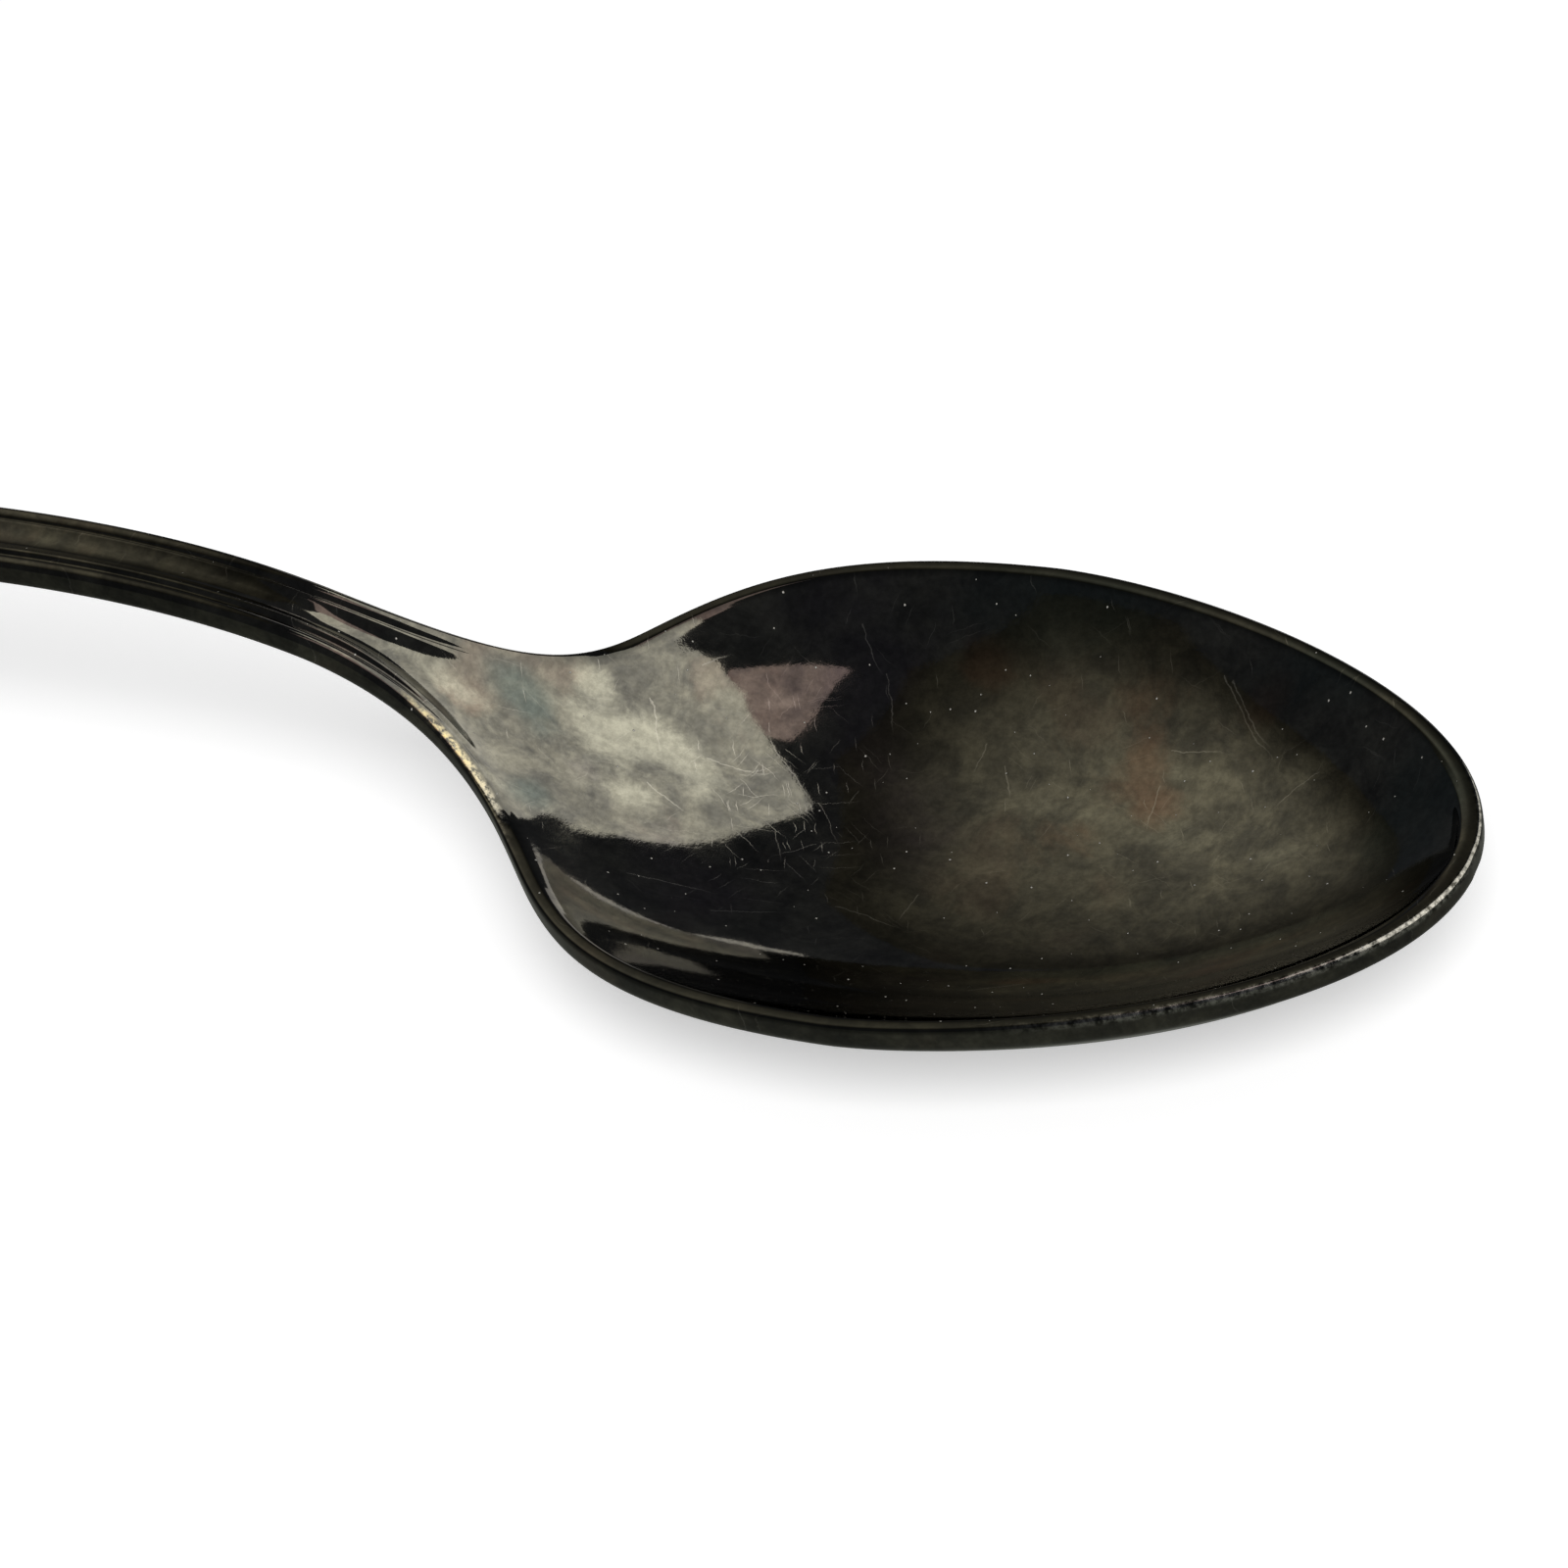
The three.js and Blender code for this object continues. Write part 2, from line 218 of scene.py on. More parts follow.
lit_card("window", (37, 3, 5), [
    (0.116, 0.977, 0.179), (0.138, 0.953, 0.268), (0.159, 0.918, 0.363), (0.168, 0.881, 0.443),
    (0.166, 0.815, 0.555), (0.138, 0.732, 0.668), (0.092, 0.63, 0.771), (0.054, 0.559, 0.828),
    (0.04, 0.506, 0.862), (0.059, 0.461, 0.885), (0.118, 0.37, 0.922), (0.178, 0.29, 0.94),
    (0.209, 0.231, 0.95), (0.261, 0.164, 0.951), (0.32, 0.052, 0.946), (0.406, -0.022, 0.914),
    (0.475, -0.08, 0.876), (0.6, -0.107, 0.793), (0.808, -0.356, 0.47), (0.947, -0.307, 0.092),
    (0.999, 0.0, 0.053), (0.915, 0.404, 0.018), (0.733, 0.679, 0.037), (0.51, 0.86, 0.015),
    (0.288, 0.957, -0.033), (0.133, 0.991, -0.002),
], (1, 0.97, 0.9), 1.7)
lit_card("rose_wall", (40, 7, 4.5), [
    (0.161, 0.217, 0.963), (0.146, 0.113, 0.983), (0.132, -0.038, 0.991), (0.109, -0.15, 0.983),
    (0.075, -0.247, 0.966), (0.15, -0.217, 0.965), (0.239, -0.164, 0.957), (0.312, -0.112, 0.943),
    (0.406, -0.052, 0.913), (0.392, -0.007, 0.92), (0.32, 0.052, 0.946), (0.261, 0.164, 0.951),
    (0.209, 0.231, 0.95),
], (1, 0.78, 0.77), 0.85)
lit_card("far_strip", (41, -7, 4.5), [
    (-0.308, 0.946, 0.102), (-0.268, 0.963, -0.027), (-0.134, 0.991, 0.003), (0.0, 1.0, -0.016),
    (0.054, 0.998, 0.018), (0.034, 0.994, 0.103), (-0.009, 0.99, 0.139), (-0.066, 0.985, 0.16),
    (-0.119, 0.977, 0.176), (-0.129, 0.969, 0.212), (-0.149, 0.956, 0.254), (-0.204, 0.943, 0.262),
    (-0.248, 0.948, 0.198),
], (1, 0.96, 0.92), 1.0)
lit_card("warm_ceiling", (55, 3, 3), [
    (-0.694, 0.713, 0.097), (-0.371, 0.879, 0.3), (-0.111, 0.743, 0.66), (0.046, 0.223, 0.974),
    (-0.079, -0.32, 0.944), (-0.331, -0.58, 0.745), (-0.62, -0.499, 0.605),
    (-0.817, -0.138, 0.56), (-0.857, 0.262, 0.443), (-0.804, 0.531, 0.268),
], (1, 0.93, 0.74), 0.62, softness=0.94)


# Spoon blank: bowl, stem and handle end in one die-struck forging of nickel silver, silver-plated and
# long tarnished. A thread is struck along both edges of the stem and round the handle end.
length = 146
bowl_width = 28.6
bowl_widest = 22.5
tip_taper = 1.58
tip_fullness = 0.5
stem_start = 50
stem_half = 1.8
stem_flare = 1.1
shoulder_start = 114.54
end_start = 125.9
end_widest = 133.536
end_width = 16.6
end_squareness = 5.5
landing = end_start - 3

bowl_depth = 6.1
bowl_floor = 1.2
bowl_deepest = 22
floor_curve = 2.6
rim_height = bowl_depth + bowl_floor
rise_start = 39
throat = 50
stem_section_from = 48      # from here on the cross-section is the stem's
arch_height = 15.3
arch_top = 66.5
channel_depth = 0.3
stem_thickness = 1.75
end_thickness = 1.7
rim_edge = 1.1
stem_edge = 1.2
bowl_section = 2.4
stem_section = 2

rim_land = 0.55
stem_land = 1.0
throat_fill_height = 0.42
throat_fill_place = 46.2
throat_fill_reach = 4.2
bead_crest = 0.38
bead_drop = 0.26
groove_place = 0.78
groove_edge = 1.0
groove_depth = 0.2
top_edge_round = 0.2
back_edge_round = 0.25
least_inner_half = 0.5
hair = 1e-4


def smooth(from_, to, s):
    """0 before from_, 1 past to, smooth between them; from_ may be the larger."""
    t = min(max((s - from_) / (to - from_), 0), 1)
    return t * t * (3 - 2 * t)


def mix(a, b, t):
    return a + (b - a) * t


def sweep(s0, h0, hold0, s1, h1, hold1, end_slope=0):
    """A curve that leaves (s0, h0) level and arrives at (s1, h1), read as a height for a length s."""
    places = (s0, s0 + hold0, s1 - hold1, s1)
    heights = (h0, h0, h1 - hold1 * end_slope, h1)

    def on_curve(values, t):
        a, b, c, d = values
        return (1 - t) ** 3 * a + 3 * (1 - t) ** 2 * t * b + 3 * (1 - t) * t * t * c + t ** 3 * d

    def height(s):
        low, high = 0, 1
        for _ in range(32):
            t = (low + high) / 2
            low, high = (t, high) if on_curve(places, t) < s else (low, t)
        return on_curve(heights, (low + high) / 2)

    return height


shoulders = sweep(bowl_widest, bowl_width / 2, 20, stem_start, stem_half, 14.5)
end_shoulders = sweep(
    shoulder_start, stem_half + stem_flare / 2, 11, end_widest, end_width / 2, 6)
rise = sweep(rise_start, rim_height, 4.4, arch_top, arch_height, 21)
fall = sweep(arch_top, arch_height, 22, landing, end_thickness, 22)


def half_width(s):
    if s <= bowl_widest:
        return bowl_width / 2 * (1 - (1 - s / bowl_widest) ** tip_taper) ** tip_fullness
    if s <= stem_start:
        return shoulders(s)
    if s <= shoulder_start:
        return stem_half + stem_flare / 2 * smooth(stem_start, shoulder_start, s)
    if s <= end_widest:
        return end_shoulders(s)
    t = (s - end_widest) / (length - end_widest)
    return end_width / 2 * max(1 - t ** end_squareness, 0) ** 0.5


def edge_height(s):
    if s <= rise_start:
        return rim_height
    if s <= arch_top:
        return rise(s)
    return fall(s) if s <= landing else end_thickness


def edge_thickness(s):
    toward_stem = mix(rim_edge, stem_edge, smooth(bowl_deepest, stem_section_from, s))
    return mix(toward_stem, end_thickness, smooth(shoulder_start, end_start, s))


heel = sweep(bowl_deepest, bowl_floor, 12, throat, edge_height(throat) - channel_depth, 6.5, 0.62)


def floor_height(s):
    if s <= bowl_deepest:
        return bowl_floor + bowl_depth * (1 - max(s, 0) / bowl_deepest) ** floor_curve
    if s <= throat:
        return heel(s)
    return edge_height(s) - channel_depth * (1 - smooth(shoulder_start, end_start, s))


def back_height(s):
    if s <= bowl_deepest:
        return (rim_height - rim_edge) * (1 - max(s, 0) / bowl_deepest) ** floor_curve
    toward_stem = mix(bowl_floor, stem_thickness - channel_depth, smooth(bowl_deepest, throat, s))
    middle = mix(toward_stem, end_thickness, smooth(shoulder_start, end_start, s))
    return max(floor_height(s) - middle, 0)


def throat_fill(s):
    """How much shallower the channel is struck where it runs into the bowl."""
    return throat_fill_height * max(1 - ((s - throat_fill_place) / throat_fill_reach) ** 2, 0) ** 2


def spread(from_, to, count, ease=lambda t: t):
    return [mix(from_, to, ease(i / count)) for i in range(count)]


crowding = 1.9
blunt_tip = 0.021
blunt_end = 0.012
stations = (
    spread(blunt_tip, bowl_deepest, 54, lambda t: t ** crowding)
    + spread(bowl_deepest, stem_start, 56)
    + spread(stem_start, shoulder_start, 104)
    + spread(shoulder_start, end_widest, 26)
    + spread(end_widest, length - blunt_end, 24, lambda t: 1 - (1 - t) ** crowding)
    + [length - blunt_end]
)


def pick(test, kind="verts"):
    """In edit mode, selects what passes the test and nothing else."""
    shape = bmesh.from_edit_mesh(bpy.context.edit_object.data)
    for part in (*shape.verts, *shape.edges, *shape.faces):
        part.select = False
    for part in getattr(shape, kind):
        if test(part):
            part.select_set(True)
    shape.select_flush_mode()
    bmesh.update_edit_mesh(bpy.context.edit_object.data)


def use_mode(kind):
    bpy.ops.mesh.select_mode(type=kind)


# A flat ladder, one rung at each station, drawn out to the outline of the blank
bpy.ops.object.select_all(action="DESELECT")
bpy.ops.mesh.primitive_grid_add(x_subdivisions=len(stations) - 1, y_subdivisions=1, size=1)
blank = bpy.context.object
blank.name = "silver_blank"
bpy.ops.object.mode_set(mode="EDIT")
use_mode("VERT")
rung_of = {
    v.index: round((v.co.x + 0.5) * (len(stations) - 1))
    for v in bmesh.from_edit_mesh(blank.data).verts
}
for rung, s in enumerate(stations):
    pick(lambda v: rung_of[v.index] == rung)
    here = rung / (len(stations) - 1) - 0.5
    bpy.ops.transform.resize(value=(1, 2 * half_width(s) * mm, 1), center_override=(here, 0, 0))
    bpy.ops.transform.translate(value=((length / 2 - s) * mm - here, 0, 0))
bpy.ops.mesh.select_all(action="SELECT")
use_mode("FACE")
bpy.ops.mesh.normals_make_consistent(inside=False)

# A second ladder for the back, hung below the first
back_hang = 10
bpy.ops.mesh.duplicate()
bpy.ops.transform.translate(value=(0, 0, -back_hang * mm))
bpy.ops.mesh.flip_normals()

# Rings set in from the outline, each remembering how far in it is
top_rings = (0.04, 0.11, 0.2, 0.32, 0.45, 0.58, 0.68, 0.78, 0.88, 1.0)
back_rings = (0.05, 0.13, 0.25, 0.6)
shape = bmesh.from_edit_mesh(blank.data)
shape.verts.layers.float.new("inset")
bmesh.update_edit_mesh(blank.data)
for on_top, rings in ((True, top_rings), (False, back_rings)):
    pick(lambda f: (f.calc_center_median().z > -back_hang / 2 * mm) == on_top, "faces")
    for before, ring in zip((0, *rings), rings):
        bpy.ops.mesh.inset(thickness=(ring - before) * mm, use_even_offset=True)
        shape = bmesh.from_edit_mesh(blank.data)
        inset = shape.verts.layers.float["inset"]
        for vert in shape.verts:
            if vert.select:
                vert[inset] = ring
        bmesh.update_edit_mesh(blank.data)

# Cross-cuts between the two sides, then a wall round the outline from the top sheet to the back
cross_cuts = 17
wall_cuts = 3
use_mode("EDGE")
pick(lambda e: e.verts[0].co.y * e.verts[1].co.y < 0, "edges")
bpy.ops.mesh.subdivide(number_cuts=cross_cuts)
pick(lambda e: e.is_boundary, "edges")
bpy.ops.mesh.bridge_edge_loops(number_cuts=wall_cuts)
bpy.ops.object.mode_set(mode="OBJECT")


def half_widths_at(limit, sheet):
    """Half widths of the innermost ring of a sheet, by length from the tip."""
    found = {}
    for vert in blank.data.vertices:
        depth = blank.data.attributes["inset"].data[vert.index].value
        if abs(vert.co.z - sheet) < mm and abs(depth - limit) < hair:
            place = round(vert.co.x / mm, 3)
            found[place] = max(found.get(place, 0), abs(vert.co.y) / mm)
    return found


inner_top = half_widths_at(top_rings[-1], 0)
inner_back = half_widths_at(back_rings[-1], -back_hang * mm)


def thread(s, inset):
    """How far the struck thread along the edge, and the groove inside it, lie below the land."""
    along = smooth(rise_start, stem_section_from, s)
    if inset < groove_place:
        return along * bead_drop * ((inset - bead_crest) / bead_crest) ** 2
    return along * groove_depth * (1 - smooth(groove_place, groove_edge, inset))


def rounding(inset, radius):
    return radius - math.sqrt(max(radius ** 2 - max(radius - inset, 0) ** 2, 0))


def share_across(y, inset, inner_half, innermost, land):
    """From 0 in the middle of a cross-section to 1 at the inner edge of its land."""
    reach = inner_half + innermost - land
    if inset < innermost - hair:
        return min((inner_half + innermost - inset) / reach, 1)
    return min(abs(y) / reach, 1)


def inner_half_at(s, inset, innermost, measured):
    """Half width inside the innermost ring: measured on that ring, worked out elsewhere."""
    if inset > innermost - hair:
        return measured[round(length / 2 - s, 3)]
    return max(half_width(min(max(s, blunt_tip), length - blunt_end)) - innermost, least_inner_half)


def top_surface(s, y, inset):
    land = mix(rim_land, stem_land, smooth(rise_start, stem_section_from, s))
    inner_half = inner_half_at(s, inset, top_rings[-1], inner_top)
    u = share_across(y, inset, inner_half, top_rings[-1], land)
    power = mix(bowl_section, stem_section, smooth(rise_start, stem_section_from, s))
    dish = 1 - u ** power
    along = s if s > bowl_deepest else (s - land) * bowl_deepest / (bowl_deepest - land)
    height = mix(edge_height(s), floor_height(along) + throat_fill(s), dish)
    return height - thread(s, inset) - rounding(inset, top_edge_round)


def back_surface(s, y, inset):
    inner_half = inner_half_at(s, inset, back_rings[-1], inner_back)
    u = share_across(y, inset, inner_half, back_rings[-1], 0)
    power = mix(bowl_section, stem_section, smooth(rise_start, stem_section_from, s))
    lower_edge = edge_height(s) - edge_thickness(s)
    return mix(lower_edge, back_height(s), 1 - u ** power) + rounding(inset, back_edge_round)


def place_of(vert):
    """Length from the tip of the bowl and place across, in millimetres."""
    return length / 2 - vert.co.x / mm, vert.co.y / mm


tallest = 20
heights = blank.vertex_groups.new(name="height")
inset_of = [item.value for item in blank.data.attributes["inset"].data]
for vert in blank.data.vertices:
    s, y = place_of(vert)
    inset = inset_of[vert.index]
    down = -vert.co.z / (back_hang * mm)
    if down < 0.001:
        height = top_surface(s, y, inset)
    elif down > 0.999:
        height = back_surface(s, y, inset)
    else:
        height = mix(top_surface(s, y, 0), back_surface(s, y, 0), down)
    heights.add([vert.index], height / tallest, "REPLACE")

bpy.ops.object.mode_set(mode="EDIT")
bpy.ops.mesh.select_all(action="SELECT")
bpy.ops.transform.resize(value=(1, 1, 0), center_override=(0, 0, 0))
bpy.ops.object.mode_set(mode="OBJECT")
struck = blank.modifiers.new("struck", "DISPLACE")
struck.direction = "Z"
struck.mid_level = 0
struck.strength = tallest * mm
struck.vertex_group = "height"
bpy.ops.object.modifier_apply(modifier="struck")
fine = blank.modifiers.new("fine", "SUBSURF")
fine.levels = fine.render_levels = 1
bpy.ops.object.modifier_apply(modifier="fine")
bpy.ops.object.shade_smooth()

# How far each place shows bright metal through wear: along the rim near the tip, where the spoon scrapes
# the cup, and on the near thread below the neck, where fingers hold it. On the rim near the tip this
# bright metal is partly wear and partly a painted highlight along the rounded edge.
top_face = (0.4, 0.2)            # how far below the height of the edge, in millimetres
rim_crest = (0.08, 0.3)          # in from the outline
thread_crest_from, thread_crest_to = (0.05, 0.2), (0.3, 0.6)
tip_wear_and_highlight_side = (-6, 0)           # across
tip_wear_and_highlight_to = (9, 17)             # along, from the tip
very_tip = (0.4, 2.2)
very_tip_wear_and_highlight = 0.55
held_side = (-3, 0)
held_from, held_to = (39, 41), (43, 46)

inset_now = [item.value for item in blank.data.attributes["inset"].data]
rubbed_and_highlit = blank.data.attributes.new("rubbed_and_highlit", "FLOAT", "POINT")
levels = []
for vert, inset in zip(blank.data.vertices, inset_now):
    s, y = place_of(vert)
    on_top = smooth(*top_face, edge_height(s) - vert.co.z / mm)
    on_rim = (1 - smooth(*rim_crest, inset)) * on_top
    near_tip = (1 - smooth(*tip_wear_and_highlight_to, s)) * (1 - smooth(*tip_wear_and_highlight_side, y))
    near_tip += very_tip_wear_and_highlight * (1 - smooth(*very_tip, s))
    on_thread = smooth(*thread_crest_from, inset) * (1 - smooth(*thread_crest_to, inset)) * on_top
    at_neck = smooth(*held_from, s) * (1 - smooth(*held_to, s)) * (1 - smooth(*held_side, y))
    levels.append(min(on_rim * near_tip + on_thread * at_neck, 1))
rubbed_and_highlit.data.foreach_set("value", levels)

# Painted shade: the flat of the bowl's rim is darkened to near black, so that it reflects little light
shade_reach = 0.4
shade_until = (38, 44)
flat_face = (0.35, 0.15)
shaded_rim = blank.data.attributes.new("shaded_rim", "FLOAT", "POINT")
levels = []
for vert, inset in zip(blank.data.vertices, inset_now):
    s, y = place_of(vert)
    on_land = (1 - smooth(rim_land, rim_land + shade_reach, inset)) * (1 - smooth(*shade_until, s))
    levels.append(on_land * smooth(*flat_face, edge_height(s) - vert.co.z / mm))
shaded_rim.data.foreach_set("value", levels)


def new_group(name, inputs, outputs):
    """A shader group with these inputs and their usual values. Its outputs are plain numbers."""
    group = bpy.data.node_groups.new(name, "ShaderNodeTree")
    for label, value in inputs.items():
        kind = "NodeSocketVector" if isinstance(value, tuple) else "NodeSocketFloat"
        group.interface.new_socket(label, in_out="INPUT", socket_type=kind).default_value = value
    for label in outputs:
        group.interface.new_socket(label, in_out="OUTPUT", socket_type="NodeSocketFloat")
    return group, group.nodes.new("NodeGroupInput").outputs, group.nodes.new("NodeGroupOutput").inputs


def place_group(tree, group, **inputs):
    item = add_node(tree, "ShaderNodeGroup", node_tree=group)
    for label, value in inputs.items():
        socket = item.inputs[label]
        if isinstance(value, bpy.types.NodeSocket):
            tree.links.new(value, socket)
        else:
            socket.default_value = value
    return item.outputs


def calc(tree, operation, *values, clamp=False):
    return add_node(
        tree, "ShaderNodeMath", dict(enumerate(values)), operation=operation, use_clamp=clamp).outputs[0]


def vector_calc(tree, operation, *values):
    item = add_node(tree, "ShaderNodeVectorMath", dict(enumerate(values)), operation=operation)
    return item.outputs["Value" if operation in ("DOT_PRODUCT", "LENGTH") else "Vector"]


def ease(tree, value, from_, to):
    """0 before from_, 1 past to, smooth between them."""
    return add_node(tree, "ShaderNodeMapRange", {
        "Value": value, "From Min": from_, "From Max": to}, interpolation_type="SMOOTHSTEP").outputs[0]


def noise(tree, position, scale, detail=4.0, rough=0.5, bend=0.0):
    return add_node(tree, "ShaderNodeTexNoise", {
        "Vector": position, "Scale": scale, "Detail": detail, "Roughness": rough, "Distortion": bend,
    }).outputs


def blend(tree, share, a, b, mode="MIX"):
    """Mixes two colours."""
    item = add_node(tree, "ShaderNodeMix", data_type="RGBA", blend_type=mode)
    for socket, value in zip((item.inputs[0], item.inputs[6], item.inputs[7]), (share, a, b)):
        if isinstance(value, bpy.types.NodeSocket):
            tree.links.new(value, socket)
        else:
            socket.default_value = value
    return item.outputs[2]


def millimetres(tree):
    place = add_node(tree, "ShaderNodeTexCoord").outputs["Object"]
    return vector_calc(tree, "MULTIPLY", place, (1000.0, 1000.0, 1000.0))


def position_x(tree, position):
    return add_node(tree, "ShaderNodeSeparateXYZ", {0: position}).outputs["X"]


# One ragged stain or cleaner patch, seen from above
stain, given, result = new_group("stain_patch", {
    "Position": (0.0, 0.0, 0.0), "Middle": (0.0, 0.0, 0.0), "Reach": (1.0, 1.0, 1000.0)}, ["Mask"])
away = vector_calc(stain, "SUBTRACT", given["Position"], given["Middle"])
away = vector_calc(stain, "DIVIDE", away, given["Reach"])
stain.links.new(ease(stain, vector_calc(stain, "LENGTH", away), 1.15, 0.25), result["Mask"])

# One long scratch from a place to another
stroke, given, result = new_group("drawn_scratch", {
    "Position": (0.0, 0.0, 0.0), "From": (0.0, 0.0, 0.0), "To": (1.0, 0.0, 0.0), "Width": 0.05}, ["Mask"])
run = vector_calc(stroke, "SUBTRACT", given["To"], given["From"])
away = vector_calc(stroke, "SUBTRACT", given["Position"], given["From"])
away = vector_calc(stroke, "MULTIPLY", away, (1.0, 1.0, 0.0))
along = calc(stroke, "DIVIDE", vector_calc(stroke, "DOT_PRODUCT", away, run),
             vector_calc(stroke, "DOT_PRODUCT", run, run), clamp=True)
nearest = add_node(stroke, "ShaderNodeVectorMath", {0: run}, operation="SCALE")
stroke.links.new(along, nearest.inputs["Scale"])
gap = vector_calc(stroke, "LENGTH", vector_calc(stroke, "SUBTRACT", away, nearest.outputs[0]))
line = calc(stroke, "SUBTRACT", 1.0, calc(stroke, "DIVIDE", gap, given["Width"], clamp=True))
fade = calc(stroke, "SUBTRACT", 1.0, ease(stroke, along, 0.55, 1.0))
stroke.links.new(calc(stroke, "MULTIPLY", line, fade), result["Mask"])

# Many short hairlines that lie about one way
hairline, given, result = new_group("hairlines", {
    "Position": (0.0, 0.0, 0.0), "Angle": 0.0, "Length": 3.0, "Width": 0.04, "Share": 0.05}, ["Mask"])
turned = add_node(hairline, "ShaderNodeVectorRotate", {
    "Vector": given["Position"], "Angle": given["Angle"]}, rotation_type="Z_AXIS").outputs[0]
size = add_node(hairline, "ShaderNodeCombineXYZ", {
    "X": given["Length"], "Y": given["Width"], "Z": 1.0}).outputs[0]
size = vector_calc(hairline, "MULTIPLY", size, (1.0, 2.0, 1.0))
cells = add_node(hairline, "ShaderNodeTexVoronoi", {
    "Vector": vector_calc(hairline, "DIVIDE", turned, size), "Scale": 1.0}, voronoi_dimensions="2D").outputs
middle = ease(hairline, cells["Distance"], 0.42, 0.12)
chance = add_node(hairline, "ShaderNodeSeparateColor", {"Color": cells["Color"]}).outputs[0]
kept = calc(hairline, "LESS_THAN", chance, given["Share"])
hairline.links.new(calc(hairline, "MULTIPLY", middle, kept), result["Mask"])

# Specks of dust
dust, given, result = new_group("dust_specks", {
    "Position": (0.0, 0.0, 0.0), "Spacing": 1.5, "Size": 0.06, "Share": 0.2}, ["Mask"])
cells = add_node(dust, "ShaderNodeTexVoronoi", {
    "Vector": given["Position"], "Scale": calc(dust, "DIVIDE", 1.0, given["Spacing"]),
}, voronoi_dimensions="2D").outputs
chance = add_node(dust, "ShaderNodeSeparateColor", {"Color": cells["Color"]}).outputs
kept = calc(dust, "LESS_THAN", chance[0], given["Share"])
size = calc(dust, "MULTIPLY", given["Size"], calc(dust, "ADD", 0.4, chance[1]))
gap = calc(dust, "MULTIPLY", cells["Distance"], given["Spacing"])
speck = ease(dust, calc(dust, "DIVIDE", gap, size), 1.0, 0.6)
dust.links.new(calc(dust, "MULTIPLY", speck, kept), result["Mask"])

# Clouds, streaks along the piece and fine flecks, which every tarnished or struck metal here shares
grain, given, result = new_group("tarnish_grain", {
    "Position": (0.0, 0.0, 0.0), "Size": 5.0}, ["Cloud", "Streak", "Fleck"])
step = calc(grain, "DIVIDE", 1.0, given["Size"])
cloud = noise(grain, given["Position"], step, 8.0, 0.62, 0.35)[0]
stretched = vector_calc(grain, "MULTIPLY", given["Position"], (0.22, 1.5, 1.0))
streak = noise(grain, stretched, calc(grain, "MULTIPLY", step, 2.6), 6.0, 0.6)[0]
fleck = noise(grain, given["Position"], calc(grain, "MULTIPLY", step, 16.0), 3.0, 0.7)[0]
grain.links.new(ease(grain, cloud, 0.33, 0.68), result["Cloud"])
grain.links.new(ease(grain, streak, 0.33, 0.68), result["Streak"])
grain.links.new(ease(grain, fleck, 0.3, 0.72), result["Fleck"])

# Stains and cleaner patches: x, y, reach along and reach across in millimetres, then strength. Most of
# the places here and under long_scratches were found with another program and then rounded.
clean_patches = [
    (36.4, 2.9, 2.0, 1.2, 0.85), (34.0, 2.2, 1.8, 1.4, 0.7), (33.0, 4.0, 1.2, 0.9, 0.8),
    (36.2, -0.3, 1.2, 0.9, 0.7), (33.9, -3.1, 1.4, 1.0, 0.4), (38.4, 2.0, 1.7, 1.2, 0.4),
    (35.3, 2.0, 4.4, 3.8, 0.35), (28.9, 0.1, 2.0, 0.8, 0.6), (31.4, -3.4, 1.5, 0.5, 0.55),
    (26.5, 0.6, 2.6, 0.8, 0.5), (58.6, 4.2, 3.0, 1.1, 0.5), (63.9, 6.7, 2.0, 1.1, 0.6),
    (63.2, 2.8, 2.0, 0.8, 0.45), (53.3, 5.1, 3.0, 1.4, 0.35), (58.9, 7.0, 3.2, 1.0, 0.35),
    (40.1, 7.0, 1.6, 0.7, 0.5),
]
brick_patches = [
    (56.2, 7.2, 1.4, 2.0, 0.8), (56.0, 10.0, 2.0, 1.4, 0.5), (61.5, 9.4, 1.6, 1.3, 0.9),
    (54.1, 3.9, 1.8, 1.2, 0.6), (48.1, 10.4, 1.5, 0.9, 0.9), (57.2, 5.4, 1.4, 1.4, 0.6),
    (33.0, 4.1, 1.0, 0.7, 0.5), (28.9, 0.1, 2.2, 0.9, 0.25),
]
teal_patches = [
    (32.9, -2.9, 1.5, 1.6, 1.0), (30.7, 1.9, 1.6, 1.2, 0.8), (32.0, 0.8, 1.2, 1.5, 0.6),
    (69.9, 3.6, 3.6, 4.5, 1.0), (51.8, 13.0, 8.0, 2.2, 0.9), (64.5, 10.0, 5.5, 2.2, 0.9),
]
violet_patches = [
    (33.9, -0.3, 1.4, 1.6, 0.6), (46.5, 3.3, 3.2, 4.5, 0.7), (43.8, 6.9, 3.0, 4.0, 0.6),
    (39.7, -3.7, 4.5, 3.2, 0.7), (60.0, -3.5, 12.0, 3.0, 0.4), (42.0, 11.0, 5.0, 3.0, 0.6),
]


patch_border = 1.3       # in reaches from a patch's middle
patch_heart = 0.1
handle_is_plain = 20     # no patch lies on the handle's side of this x


def patches(name, table):
    """Writes how strongly a table's patches cover each place on the blank, as an attribute."""
    layer = blank.data.attributes.new(name, "FLOAT", "POINT")
    cover = []
    for vert in blank.data.vertices:
        total, here_x, here_y = 0, vert.co.x / mm, vert.co.y / mm
        for x, y, reach_x, reach_y, strength in table if here_x > handle_is_plain else ():
            away = math.hypot((here_x - x) / reach_x, (here_y - y) / reach_y)
            if away < patch_border:
                total += strength * smooth(patch_border, patch_heart, away)
        cover.append(min(total, 1))
    layer.data.foreach_set("value", cover)


patches("clean", clean_patches)
patches("brick", brick_patches)
patches("teal", teal_patches)
patches("violet", violet_patches)


def ragged(tree, name, break_up, amount):
    """A patch attribute with its border broken up by a grain from 0 to 1."""
    offset = calc(tree, "MULTIPLY", calc(tree, "SUBTRACT", break_up, 0.5), amount)
    return ease(tree, calc(tree, "ADD", attribute(tree, name), offset), 0.12, 0.95)


